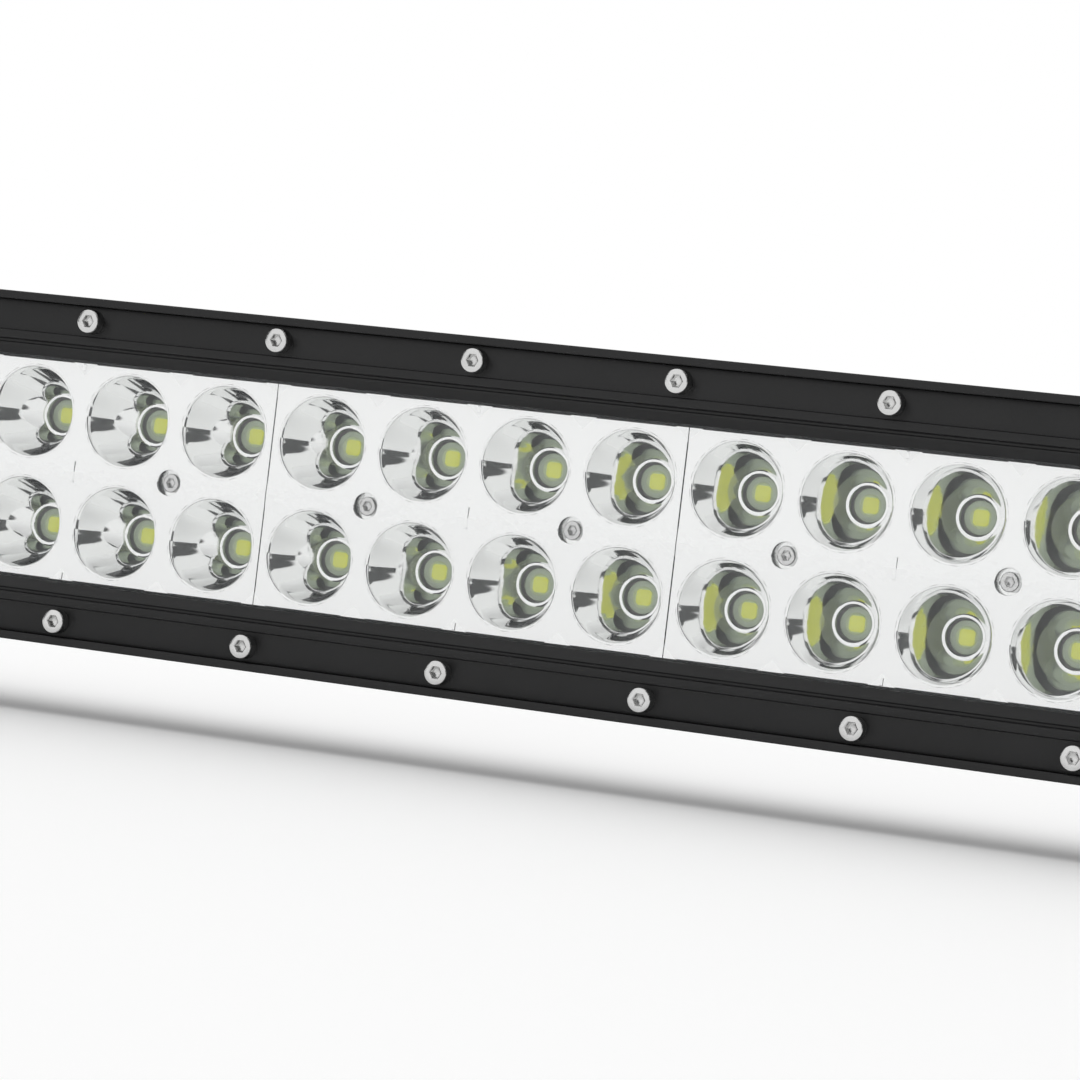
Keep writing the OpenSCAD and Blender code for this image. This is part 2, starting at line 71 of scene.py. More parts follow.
def lamp_x(node):
    """Lowest and highest x of a CAD node, in millimetres."""
    low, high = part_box(node)
    return low.x / MM, high.x / MM


def lamp_y(node):
    """Nearest and farthest depth of a CAD node behind the lip, in millimetres."""
    low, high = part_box(node)
    return (low.y - LIP_Y) / MM, (high.y - LIP_Y) / MM


def lamp_z(node):
    """Lowest and highest height of a CAD node from the centre line, in millimetres."""
    low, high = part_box(node)
    return (low.z - CENTRE_Z) / MM, (high.z - CENTRE_Z) / MM


# Housing and bezel, in millimetres, taken from the frame where it has them
HALF_FACE = lamp_z("housing")[1]
HOUSING_HALF = lamp_x("housing")[1]
CAP_OUTER = lamp_x("bezel_top")[1] + 2  # outer face of the end caps
BEZEL_OUTER = lamp_z("bezel_top")[1]
BEZEL_INNER = lamp_z("bezel_top")[0]
SHOULDER_Y = lamp_y("bezel_top")[1]
CHANNEL_Y = SHOULDER_Y - 3  # floor of the screws' channel
OPENING_HALF = lamp_x("bezel_top")[1] - (BEZEL_OUTER - BEZEL_INNER)
LENS_Y = lamp_y("lens")[0]
LENS_SEAT = 28.7  # half height of the recess that holds the lens
SCREW_LINE = (BEZEL_OUTER + 31.1) / 2  # middle of the channel
SCREW_PITCH = 48.4
BOARD_Y, BOARD_BACK = lamp_y("led_board_3")
TRAY_FLOOR = 4
TRAY_HALF = 25.9
FLOOR_BACK = BOARD_BACK + 0.4 + TRAY_FLOOR  # behind the thermal pad and the tray's floor
CHAMBER_HALF = 19.5
REAR_WALL = lamp_y("gland_body")[1] - 4
LEDGE_Y = 6  # depth of the ledge behind the lens
LIP = 1.9
GROOVE_STARTS = (FLOOR_BACK - 10.6, FLOOR_BACK - 6.2)
GROOVE_WIDTH = 2.6
GROOVE_FLOOR = 30.5
SIDE_FIN_PITCH = 4.8
SIDE_FIN_HALF = 0.9
BACK_FIN_PITCH = 5.2
BACK_FIN_HALF = 0.8
FIN_POCKET = 14  # clear of the back fins on each side of the gland and the breather
BACK_RADIUS = 50
BACK_CENTRE_Y = 10
GLAND_X = sum(lamp_x("gland_body")) / 2
BREATHER_X = -GLAND_X
PIVOT_Y = sum(lamp_y("pivot_bush_left")) / 2
PORTS = [(14.2, 35.2), (FLOOR_BACK + 2.5, 33.5), (REAR_WALL - 5, 14.5)]  # end cap screws, as [y, z]

# Reflector modules
PLATE_Y = lamp_y("reflector_3")[0] + 0.4  # behind the frame's pressed marks
MODULE = 100
SEAM = 0.05  # half the gap between two modules
PLATE_HALF = 25.3
PLATE_SKIRT = 4
MODULES = [lamp_x(f"reflector_{i}")[0] + MODULE / 2 - SEAM for i in range(1, 6)]
CUP_PITCH = 25
ROW = 12.9
CUP_PLACES = [(x, z) for x in (-37.5, -12.5, 12.5, 37.5) for z in (-ROW, ROW)]
MOUTH = 10.3
MOUTH_ROLL = 0.4
COLLAR = MOUTH + MOUTH_ROLL + 0.25
CUP_BASE = 4.8
CUP_DEPTH = 14
CUP_HOLE = 4.2
CUP_STEPS = 84
POSTS = (-25, 25)
WELL_MOUTH = 3.3
WELL = 2.9
WELL_DEPTH = 3.4
DIAMOND = 3.1
DIAMOND_RISE = 0.15
RIB_HALF = 0.42
RIB_RISE = 0.35

# LEDs: sections as [radius, height] from the board, and the chip between its two heights
LED_BASE = [(3.8, 0), (3.8, 1.45), (3.65, 1.6), (2.5, 1.6), (2.35, 1.5), (2.1, 1.15), (0, 1.1)]
LED_DOME = [(0, 1.62), (3.6, 1.62), (3.7, 1.75), (3.66, 2.0), (3.5, 2.1), (2.75, 2.1), (2.6, 2.18),
            (2.5, 2.5), (2.3, 3.05), (1.95, 3.5), (1.5, 3.85), (1, 4.08), (0.5, 4.21), (0, 4.25)]
CHIP_HALF = 1.75
CHIP_CORNER = 0.55
CHIP_HEIGHTS = (1.12, 1.4)

# Screws: head radius, head height, socket across flats, shank radius and shank length
BEZEL_SCREW = (2.75, 3, 2.5, 1.5, 2.5)
REFLECTOR_SCREW = (2.15, 2.6, 2, 1.5, 10)
END_SCREW = (3.8, 2.4, 2.5, 2, 8)


# ---- Meshes ----


def mesh_object(name, verts, faces, sharp=30):
    """A smooth-shaded object with its normals outwards, whose edges over `sharp` degrees stay crisp."""
    mesh = bpy.data.meshes.new(name)
    mesh.from_pydata([place(*v) for v in verts], [], faces)
    shape = bmesh.new()
    shape.from_mesh(mesh)
    bmesh.ops.remove_doubles(shape, verts=shape.verts, dist=0.000004)
    bmesh.ops.recalc_face_normals(shape, faces=shape.faces)
    shape.to_mesh(mesh)
    shape.free()
    mesh.shade_smooth()
    mesh.set_sharp_from_angle(angle=math.radians(sharp))
    piece = bpy.data.objects.new(name, mesh)
    bpy.context.scene.collection.objects.link(piece)
    return piece


class Build:
    """Collects vertices and faces, in lamp coordinates."""

    def __init__(self):
        self.verts = []
        self.faces = []

    def add(self, verts, faces):
        first = len(self.verts)
        self.verts += [tuple(v) for v in verts]
        self.faces += [tuple(first + i for i in face) for face in faces]

    def object(self, name, sharp=30):
        return mesh_object(name, self.verts, self.faces, sharp)


def rounded(points, radius, steps=3):
    """The closed outline with each corner rounded, as far as its edges allow."""
    out = []
    count = len(points)
    for i, corner in enumerate(points):
        here = Vector(corner)
        before = Vector(points[i - 1]) - here
        after = Vector(points[(i + 1) % count]) - here
        reach = min(radius, before.length * 0.45, after.length * 0.45)
        a = here + before.normalized() * reach
        b = here + after.normalized() * reach
        for k in range(steps + 1):
            t = k / steps
            point = a * (1 - t) ** 2 + here * 2 * t * (1 - t) + b * t ** 2
            out.append((point.x, point.y))
    return out


def lathe(build, profile, steps, frame_of, closed=False, knurl=0.0):
    """Turns [radius, height] points round an axis. frame_of maps (a, b, height) to lamp coordinates."""
    verts = []
    rings = []
    for radius, height in profile:
        if radius < 1e-6:
            rings.append([len(verts)] * steps)
            verts.append(frame_of(0, 0, height))
            continue
        rings.append([len(verts) + i for i in range(steps)])
        for i in range(steps):
            angle = 2 * math.pi * i / steps
            r = radius - (knurl if i % 2 else 0)
            verts.append(frame_of(r * math.cos(angle), r * math.sin(angle), height))
    faces = []
    pairs = list(zip(rings, rings[1:] + ([rings[0]] if closed else [])))
    for low, high in pairs[: len(rings) if closed else len(rings) - 1]:
        for i in range(steps):
            j = (i + 1) % steps
            face = [low[i], low[j], high[j], high[i]]
            face = [v for k, v in enumerate(face) if v != face[k - 1]]
            if len(face) > 2:
                faces.append(face)
    build.add(verts, faces)


def facing_front(x, z, y=0):
    """Axis along -Y, with heights counted forwards from depth y."""
    return lambda a, b, h: (x + a, y - h, z + b)


def facing_back(x, z, y=0):
    """Axis along +Y, with heights counted backwards from depth y."""
    return lambda a, b, h: (x + a, y + h, z + b)


def facing_side(side, y, z, x):
    """Axis along the bar, outwards at that end, with heights counted outwards from x."""
    return lambda a, b, h: (side * (x + h), y + a, z + side * b)


def hexagon(flats):
    """Corners of a hexagon of this width across its flats."""
    reach = flats / 2 / math.cos(math.pi / 6)
    return [(reach * math.cos(math.pi / 3 * i), reach * math.sin(math.pi / 3 * i)) for i in range(6)]


def socket(build, frame_of, rim, top, flats, depth, steps):
    """A hexagon socket: face from a circle of radius rim, small chamfer, walls and a drilled bottom."""
    per_side = steps // 6
    circle = [(rim * math.cos(2 * math.pi * i / steps), rim * math.sin(2 * math.pi * i / steps))
              for i in range(steps)]
    rings = []
    for size, height in ((flats + 0.3, top), (flats, top - 0.15), (flats, top - depth)):
        corners = hexagon(size)
        ring = []
        for i in range(steps):
            side, share = divmod(i, per_side)
            a = Vector(corners[side])
            b = Vector(corners[(side + 1) % 6])
            ring.append(tuple(a.lerp(b, share / per_side)) + (height,))
        rings.append(ring)
    bottom = flats * 0.42
    drilled = [(bottom * math.cos(2 * math.pi * i / steps), bottom * math.sin(2 * math.pi * i / steps),
                top - depth) for i in range(steps)]
    rings = [[c + (top,) for c in circle]] + rings + [drilled]
    verts = [frame_of(*p) for ring in rings for p in ring]
    faces = []
    for k in range(len(rings) - 1):
        for i in range(steps):
            j = (i + 1) % steps
            faces.append((k * steps + i, k * steps + j, (k + 1) * steps + j, (k + 1) * steps + i))
    tip = len(verts)
    verts.append(frame_of(0, 0, top - depth - bottom * 0.5))
    last = (len(rings) - 1) * steps
    faces += [(last + i, last + (i + 1) % steps, tip) for i in range(steps)]
    build.add(verts, faces)


def cap_screw(build, frame_of, head, height, flats, shank, length):
    """Socket-head cap screw standing on height 0: knurled side, chamfered rim, hexagon socket."""
    rim = head - 0.4
    lathe(build, [(shank, -length), (shank, 0), (head, 0)], 24, frame_of)
    lathe(build, [(head, 0), (head, 0.15), (head, height - 0.4)], 48, frame_of, knurl=0.06)
    lathe(build, [(head - 0.03, height - 0.4), (head - 0.14, height - 0.12), (rim, height)], 48, frame_of)
    socket(build, frame_of, rim, height, flats, height * 0.6, 48)


def button_screw(build, frame_of, head, height, flats, shank, length):
    """Button-head screw standing on height 0: domed head with a hexagon socket."""
    top = flats * 0.75
    dome = [(head, 0), (head, height * 0.18)]
    for k in range(1, 9):
        angle = math.pi / 2 * k / 8
        dome.append((top + (head - top) * math.cos(angle), height * (0.18 + 0.82 * math.sin(angle))))
    lathe(build, [(shank, -length), (shank, 0), (head, 0)], 24, frame_of)
    lathe(build, dome, 48, frame_of)
    socket(build, frame_of, top, height, flats, height * 0.6, 48)


def ring_piece(build, frame_of, inner, outer, low, high, bevel=0.15):
    """A flat ring with bevelled edges, closed all round."""
    profile = [(inner, low + bevel), (inner + bevel, low), (outer - bevel, low), (outer, low + bevel),
               (outer, high - bevel), (outer - bevel, high), (inner + bevel, high), (inner, high - bevel)]
    lathe(build, profile, 48, frame_of, closed=True)


def extrusion(build, outline, low, high):
    """A closed [y, z] outline drawn out along the bar, with filled ends."""
    count = len(outline)
    verts = [(low, y, z) for y, z in outline] + [(high, y, z) for y, z in outline]
    faces = [(i, (i + 1) % count, count + (i + 1) % count, count + i) for i in range(count)]
    fill = tessellate_polygon([[Vector((y, z, 0)) for y, z in outline]])
    faces += [tuple(reversed(t)) for t in fill] + [tuple(count + i for i in t) for t in fill]
    build.add(verts, faces)


# ---- Reflectors ----


def cup_radius(depth):
    """A parabola from the mouth to the hole's rim, which puts its focus at the LED's chip."""
    return math.sqrt(MOUTH ** 2 + (CUP_BASE ** 2 - MOUTH ** 2) * depth / CUP_DEPTH)


def cup_profile():
    """[radius, depth] from a flat collar on the plate, over the rolled mouth, down to the LED's ring."""
    roll = MOUTH_ROLL
    profile = [(COLLAR, 0), (MOUTH + roll, 0)]
    for k in range(1, 6):
        angle = math.radians(15 * k)
        profile.append((MOUTH + roll * (1 - math.sin(angle)), roll * (1 - math.cos(angle))))
    for k in range(1, 25):
        depth = roll + (CUP_DEPTH - roll) * k / 24
        profile.append((cup_radius(depth), depth))
    edge = 0.08
    profile += [(CUP_BASE - edge, CUP_DEPTH + 0.02), (CUP_HOLE + edge, CUP_DEPTH + 0.02),
                (CUP_HOLE, CUP_DEPTH + edge), (CUP_HOLE, CUP_DEPTH + 1.2)]
    return profile


def plate_outline(half_length, half_height):
    """The plate's edge in x and z, with the notches that meet at the seams."""
    notch = 0.4
    corner = []
    for sx, sz in ((1, 1), (-1, 1), (-1, -1), (1, -1)):
        points = [(half_length, 2.5), (half_length, half_height - 2),
                  (half_length - notch, half_height - 2), (half_length - notch, half_height)]
        points = [(half_length - notch, 2.5)] + points
        points = [(sx * x, sz * z) for x, z in points]
        corner += points if sx * sz > 0 else points[::-1]
    return corner


def collars(centre, steps):
    """Circles of the cup collars and screw wells on the plate, as [x, z, radius, steps]."""
    cups = [(centre + x, z, COLLAR, steps) for x, z in CUP_PLACES]
    wells = [(centre + x, 0, WELL_MOUTH, 32) for x in POSTS]
    return cups + wells


def add_plate(build, centre, steps):
    """The plate's flat face, triangulated round its holes, with a bevelled edge and a skirt."""
    bevel = 0.35
    outer = []
    inner = []
    for x, z in plate_outline(MODULE / 2 - SEAM, PLATE_HALF):
        drop = math.copysign(bevel, z) if abs(z) > PLATE_HALF - 1 else 0
        outer.append((centre + x, z))
        inner.append((centre + x - math.copysign(bevel * 0.3, x), z - drop))
    points = [Vector(p) for p in inner]
    edges = [(i, (i + 1) % len(points)) for i in range(len(points))]
    for x, z, radius, count in collars(centre, steps):
        first = len(points)
        for i in range(count):
            angle = 2 * math.pi * i / count
            points.append(Vector((x + radius * math.cos(angle), z + radius * math.sin(angle))))
        edges += [(first + i, first + (i + 1) % count) for i in range(count)]
    found, _, triangles, *_ = delaunay_2d_cdt(points, edges, [], 0, 1e-6)
    keep = []
    for tri in triangles:
        mid = sum((found[i] for i in tri), Vector((0, 0))) / len(tri)
        if inside_plate(mid, centre, inner, steps):
            keep.append(tuple(tri))
    build.add([(p.x, PLATE_Y, p.y) for p in found], keep)
    count = len(outer)
    rim = [(x, PLATE_Y, z) for x, z in inner] + [(x, PLATE_Y + bevel, z) for x, z in outer]
    rim += [(x, PLATE_Y + PLATE_SKIRT, z) for x, z in outer]
    faces = []
    for i in range(count):
        j = (i + 1) % count
        faces += [(i, j, count + j, count + i), (count + i, count + j, 2 * count + j, 2 * count + i)]
    build.add(rim, faces)


def inside_plate(point, centre, outline, steps):
    """Whether a point is within the plate's outline and outside its holes."""
    for x, z, radius, _ in collars(centre, steps):
        if math.hypot(point.x - x, point.y - z) < radius * 0.995:
            return False
    crossings = 0
    for (x0, z0), (x1, z1) in zip(outline, outline[1:] + outline[:1]):
        if (z0 > point.y) != (z1 > point.y) and point.x < x0 + (point.y - z0) / (z1 - z0) * (x1 - x0):
            crossings += 1
    return crossings % 2 == 1


def add_diamond(build, x, z, left=1, right=1, up=1, down=1):
    """A low pressed pyramid, cut off on the sides given as 0."""
    rim = [(x + DIAMOND * right, PLATE_Y + 0.02, z), (x, PLATE_Y + 0.02, z + DIAMOND * up),
           (x - DIAMOND * left, PLATE_Y + 0.02, z), (x, PLATE_Y + 0.02, z - DIAMOND * down)]
    apex = (x, PLATE_Y - DIAMOND_RISE, z)
    build.add(rim + [apex], [(i, (i + 1) % 4, 4) for i in range(4)])


def add_rib(build, x, z, half_height):
    """A pressed rib with steep sides and a flat top."""
    corners = ((-1, -1), (1, -1), (1, 1), (-1, 1))
    low = [(x + a * RIB_HALF, PLATE_Y + 0.02, z + b * half_height) for a, b in corners]
    high = [(x + a * (RIB_HALF - 0.1), PLATE_Y - RIB_RISE, z + b * (half_height - 0.2)) for a, b in corners]
    faces = [(i, (i + 1) % 4, 4 + (i + 1) % 4, 4 + i) for i in range(4)] + [(4, 5, 6, 7)]
    build.add(low + high, faces)


def reflector(index, centre):
    """One module: plate, cups, screw wells and the diamonds and ribs pressed between them."""
    build = Build()
    add_plate(build, centre, CUP_STEPS)
    for x, z in CUP_PLACES:
        lathe(build, cup_profile(), CUP_STEPS, facing_back(centre + x, z, PLATE_Y))
    well = [(WELL_MOUTH, 0), (WELL + 0.15, 0), (WELL + 0.05, 0.06), (WELL, 0.2), (WELL, WELL_DEPTH),
            (1.6, WELL_DEPTH)]
    for x in POSTS:
        lathe(build, well, 32, facing_back(centre + x, 0, PLATE_Y))
    edge = MODULE / 2 - 0.1
    height = 25.1
    add_diamond(build, centre, 0)
    add_diamond(build, centre - edge, 0, left=0)
    add_diamond(build, centre + edge, 0, right=0)
    for sign in (-1, 1):
        cut = {"up": 0} if sign > 0 else {"down": 0}
        for x in (-CUP_PITCH, 0, CUP_PITCH):
            add_diamond(build, centre + x, sign * height, **cut)
        add_diamond(build, centre - edge, sign * height, left=0, **cut)
        add_diamond(build, centre + edge, sign * height, right=0, **cut)
        add_rib(build, centre, sign * (height - 0.9), 0.9)
    add_rib(build, centre, 0, 2.5)
    piece = build.object(f"reflector_shell_{index}", sharp=26)
    face_front(piece)
    crisp_front(piece)
    return piece


def crisp_front(piece):
    """Flat-shades the plate and its pressed marks, whose faces look almost straight forwards."""
    for face in piece.data.polygons:
        if face.normal.y < -0.985:
            face.use_smooth = False


def face_front(piece):
    """Turns an open shell's faces round if its largest face looks backwards."""
    largest = max(piece.data.polygons, key=lambda face: face.area)
    if largest.normal.y > 0:
        piece.data.flip_normals()


# ---- LEDs ----


def chip_corners():
    """The chip's outline, a square with its corners cut off."""
    half = CHIP_HALF
    short = CHIP_HALF - CHIP_CORNER
    return [(half, short), (short, half), (-short, half), (-half, short),
            (-half, -short), (-short, -half), (short, -half), (half, -short)]


def led_parts():
    """All the LEDs' white bases, chips and clear domes, as three pieces."""
    base = Build()
    chip = Build()
    dome = Build()
    corners = chip_corners()
    sides = [(i, (i + 1) % 8, 8 + (i + 1) % 8, 8 + i) for i in range(8)]
    for centre in MODULES:
        for x, z in CUP_PLACES:
            frame_of = facing_front(centre + x, z, BOARD_Y)
            lathe(base, LED_BASE, 40, frame_of)
            chip.add([frame_of(a, b, height) for height in CHIP_HEIGHTS for a, b in corners],
                     sides + [tuple(range(8, 16))])
            lathe(dome, LED_DOME, 40, frame_of)
    return base.object("led_bases"), chip.object("led_phosphors", 20), dome.object("led_dome_lenses", 50)


# ---- Bezel ----


def bezel_outline():
    """The rail's closed section as [depth, height]: channel, raised ridge, land and inner band."""
    channel = [(SHOULDER_Y, BEZEL_OUTER), (CHANNEL_Y, BEZEL_OUTER), (CHANNEL_Y, 31.15)]
    ridge = [(0.1, 30.95), (0.1, 29.15), (0.95, 28.85)]
    land = [(0.95, 28.3), (0.6, 28.1), (0.75, 27.7)]
    band = [(2.3, BEZEL_INNER), (LENS_Y, BEZEL_INNER)]
    seat = [(LENS_Y, LENS_SEAT), (SHOULDER_Y, LENS_SEAT)]
    return rounded(channel + ridge + land + band + seat, 0.16, 2)


def rail(name, to_lamp):
    """A mitred rail: to_lamp maps (along, depth, height, end sign) to lamp coordinates."""
    outline = bezel_outline()
    count = len(outline)
    verts = [to_lamp(end, y, z) for end in (-1, 1) for y, z in outline]
    faces = [(i, (i + 1) % count, count + (i + 1) % count, count + i) for i in range(count)]
    fill = tessellate_polygon([[Vector((y, z, 0)) for y, z in outline]])
    faces += [tuple(t) for t in fill] + [tuple(count + i for i in t) for t in fill]
    return mesh_object(name, verts, faces, 40)


def long_rail(side):
    """The top or bottom rail of the bezel."""
    def to_lamp(end, y, z):
        return end * (OPENING_HALF + z - BEZEL_INNER), y, side * z

    return rail("rail_top" if side > 0 else "rail_bottom", to_lamp)


def short_rail(side):
    """The right or left rail of the bezel."""
    def to_lamp(end, y, z):
        return side * (OPENING_HALF + z - BEZEL_INNER), y, end * z

    return rail("rail_right" if side > 0 else "rail_left", to_lamp)


def bezel_screws(name, places):
    """Socket-head screws in the channel, at these [x, z] places."""
    build = Build()
    for x, z in places:
        cap_screw(build, facing_front(x, z, CHANNEL_Y), *BEZEL_SCREW)
    return build.object(name, 25)


# ---- Housing ----


def fin_tip(z):
    """Depth at which a fin at height z ends, on the housing's rounded back."""
    return BACK_CENTRE_Y + math.sqrt(BACK_RADIUS ** 2 - z ** 2)


def housing_outline():
    """The closed section of the tray and chamber, without the fins on the chamber's back."""
    top = [(LEDGE_Y, TRAY_HALF), (LEDGE_Y, LENS_SEAT), (SHOULDER_Y, LENS_SEAT),
           (SHOULDER_Y, HALF_FACE - LIP), (0, HALF_FACE - LIP), (0, HALF_FACE)]
    for start in GROOVE_STARTS:
        end = start + GROOVE_WIDTH
        top += [(start, HALF_FACE), (start, GROOVE_FLOOR), (end, GROOVE_FLOOR), (end, HALF_FACE)]
    top += [(FLOOR_BACK, HALF_FACE)]
    for i in (3, 2, 1, 0):
        z = 23.5 + SIDE_FIN_PITCH * i
        low = z - SIDE_FIN_HALF
        high = z + SIDE_FIN_HALF
        tip = fin_tip(high)
        top += [(FLOOR_BACK, high), (tip, high), (tip + 0.6, low), (FLOOR_BACK, low)]
    top += [(FLOOR_BACK, CHAMBER_HALF), (REAR_WALL, CHAMBER_HALF)]
    tray = FLOOR_BACK - TRAY_FLOOR
    lower = [(y, -z) for y, z in reversed(top)]
    return [(tray, TRAY_HALF)] + top + lower + [(tray, -TRAY_HALF)]


def housing_body():
    """The extruded housing, with fins on its back that stop short of the gland and the breather."""
    build = Build()
    extrusion(build, rounded(housing_outline(), 0.35, 3), -HOUSING_HALF, HOUSING_HALF)
    ends = [-HOUSING_HALF]
    for x in sorted((GLAND_X, BREATHER_X)):
        ends += [x - FIN_POCKET, x + FIN_POCKET]
    ends += [HOUSING_HALF]
    for i in range(-3, 4):
        low = BACK_FIN_PITCH * i - BACK_FIN_HALF
        high = BACK_FIN_PITCH * i + BACK_FIN_HALF
        root = REAR_WALL - 1
        tip = fin_tip(BACK_FIN_PITCH * abs(i) + BACK_FIN_HALF)
        outline = rounded([(root, low), (tip, low), (tip, high), (root, high)], 0.35, 3)
        for start, end in zip(ends[::2], ends[1::2]):
            extrusion(build, outline, start, end)
    return build.object("housing_extrusion", 35)


# ---- Ends, tilt hardware, gland ----


def sided(name, side):
    """A name with the end it belongs to."""
    return f"{name}_{'right' if side > 0 else 'left'}"


def end_screws(side):
    """The screws that hold an end cap, standing on its outer face."""
    build = Build()
    for y, z in PORTS:
        for s in (-1, 1):
            button_screw(build, facing_side(side, y, s * z, CAP_OUTER), *END_SCREW)
    return build.object(sided("cap_screws", side), 25)


def tilt_hardware(side):
    """Bolts and washers that stand outside the bracket, with the node each one stands for."""
    seat = lamp_x("pivot_washer_right")[1]
    inner = lamp_x("pivot_washer_right")[0]
    shank_end = seat - lamp_x("pivot_bolt_right")[0]
    pieces = []
    lock_z = sum(lamp_z("lock_bolt_right")) / 2
    for name, z, head, height, flats, shank, washer in (
            ("pivot", 0, 7, 4.4, 5, 4, 8), ("lock", lock_z, 5.25, 3.3, 4, 3, 6.4)):
        bolt = Build()
        button_screw(bolt, facing_side(side, PIVOT_Y, z, seat), head, height, flats, shank, shank_end)
        pieces.append((bolt.object(sided(name + "_screw", side), 25), sided(name + "_bolt", side)))
        disc = Build()
        ring_piece(disc, facing_side(side, PIVOT_Y, z, 0), shank + 0.1, washer, inner, seat)
        pieces.append((disc.object(sided(name + "_disc", side), 25), sided(name + "_washer", side)))
    return pieces


def gland_dome():
    """The gland's clamping nut: fluted grip, shoulder and a rounded mouth round the cable hole."""
    start = lamp_y("gland_cap")[0]
    build = Build()
    frame_of = facing_back(GLAND_X, 0, start)
    lathe(build, [(5.5, 0), (8.1, 0), (8.35, 0.3), (8.35, 6.4)], 72, frame_of)
    lathe(build, [(8.35, 0.3), (8.35, 6.4)], 36, frame_of, knurl=0.3)
    dome = [(8.3, 6.4)]
    for k in range(1, 9):
        angle = math.pi / 2 * k / 8
        dome.append((4.6 + 3.7 * math.cos(angle), 6.8 + 4.2 * math.sin(angle)))
    dome += [(4.1, 10.9), (3.75, 10.6), (3.7, 8.3), (5.5, 8.2), (5.5, 0)]
    lathe(build, dome, 72, frame_of)
    return build.object("gland_clamping_nut", 30)


def softened(node, width):
    """Rounds the edges of a CAD node that is shown as it is."""
    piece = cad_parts[node]
    weld = piece.modifiers.new("weld", "WELD")
    weld.merge_threshold = 0.00001
    flat = piece.modifiers.new("flat", "DECIMATE")
    flat.decimate_type = "DISSOLVE"
    flat.angle_limit = math.radians(0.5)
    bevel = piece.modifiers.new("bevel", "BEVEL")
    bevel.width = width * MM
    bevel.segments = 2
    bevel.limit_method = "ANGLE"
    bevel.angle_limit = math.radians(28)
    bevel.harden_normals = True
    for face in piece.data.polygons:
        face.use_smooth = True


# ---- Materials ----


def principled(name, colour, metallic, roughness):
    """A new material and its shader."""
    made = bpy.data.materials.new(name)
    made.use_nodes = True
    shader = made.node_tree.nodes["Principled BSDF"]
    shader.inputs["Base Color"].default_value = (*colour, 1)
    shader.inputs["Metallic"].default_value = metallic
    shader.inputs["Roughness"].default_value = roughness
    return made, shader


def noise(made, scale, detail=2.0):
    """A noise value that stays fixed to the piece."""
    nodes = made.node_tree.nodes
    where = nodes.new("ShaderNodeTexCoord")
    texture = nodes.new("ShaderNodeTexNoise")
    texture.inputs["Scale"].default_value = scale
    texture.inputs["Detail"].default_value = detail
    made.node_tree.links.new(where.outputs["Object"], texture.inputs["Vector"])
    return texture.outputs["Fac"]


def bump(made, shader, height, strength, distance):
    """Roughens the surface by a height value."""
    node = made.node_tree.nodes.new("ShaderNodeBump")
    node.inputs["Strength"].default_value = strength
    node.inputs["Distance"].default_value = distance
    made.node_tree.links.new(height, node.inputs["Height"])
    made.node_tree.links.new(node.outputs["Normal"], shader.inputs["Normal"])


def spread(made, source, low, high, target):
    """Maps a 0 to 1 value to the range low to high on a shader socket."""
    node = made.node_tree.nodes.new("ShaderNodeMapRange")
    node.inputs["From Min"].default_value = 0.3
    node.inputs["From Max"].default_value = 0.7
    node.inputs["To Min"].default_value = low
    node.inputs["To Max"].default_value = high
    made.node_tree.links.new(source, node.inputs["Value"])
    made.node_tree.links.new(node.outputs["Result"], target)


def tint(made, source, dark, light, target):
    """Blends two colours by a 0 to 1 value."""
    ramp = made.node_tree.nodes.new("ShaderNodeValToRGB")
    ramp.color_ramp.elements[0].position = 0.3
    ramp.color_ramp.elements[1].position = 0.7
    ramp.color_ramp.elements[0].color = (*dark, 1)
    ramp.color_ramp.elements[1].color = (*light, 1)
    made.node_tree.links.new(source, ramp.inputs["Fac"])
    made.node_tree.links.new(ramp.outputs["Color"], target)


def grained(name, colour, metallic, roughness, scale, strength, vary=0.12, rough_vary=0.05):
    """A material whose colour, gloss and surface all vary a little with a fine grain."""
    made, shader = principled(name, colour, metallic, roughness)
    fine = noise(made, scale, 3)
    broad = noise(made, scale * 0.04, 2)
    dark = [c * (1 - vary) for c in colour]
    light = [min(1, c * (1 + vary)) for c in colour]
    tint(made, broad, dark, light, shader.inputs["Base Color"])
    spread(made, fine, max(0.02, roughness - rough_vary), roughness + rough_vary, shader.inputs["Roughness"])
    bump(made, shader, fine, strength, 0.00005)
    return made, shader


def powder_coat():
    """Satin black coat on the metal parts."""
    made, shader = grained("powder_coat", (0.009, 0.009, 0.0095), 0, 0.42, 2600, 0.22)
    shader.inputs["Specular IOR Level"].default_value = 0.38
    return made


def chrome():
    """Metallised plastic, very slightly wavy."""
    made, shader = principled("metallised", (0.93, 0.935, 0.93), 1, 0.03)
    spread(made, noise(made, 900, 2), 0.02, 0.06, shader.inputs["Roughness"])
    bump(made, shader, noise(made, 260, 2), 0.05, 0.0002)
    return made


def glow(shader, colour, strength):
    """Makes a surface give off a little light."""
    shader.inputs["Emission Color"].default_value = (*colour, 1)
    shader.inputs["Emission Strength"].default_value = strength


def phosphor_with_painted_glow():
    """The chip's yellow phosphor, with a painted glow that makes it brighter than the light falling on it
    would.
    """
    made, shader = grained("led_phosphor", (0.95, 0.93, 0.02), 0, 0.5, 3000, 0.1, 0.06)
    # Painted glow: the unlit chip gives off light of its own, so that it reads as bright yellow.
    glow(shader, (0.75, 0.8, 0.01), 0.3)
    return made


def clear(name, colour, alpha, roughness):
    """A glossy clear plastic. Alpha is the share of light that its body takes."""
    made, shader = principled(name, colour, 0, roughness)
    shader.inputs["Alpha"].default_value = alpha
    shader.inputs["IOR"].default_value = 1.45
    spread(made, noise(made, 700, 2), roughness, roughness + 0.04, shader.inputs["Roughness"])
    return made


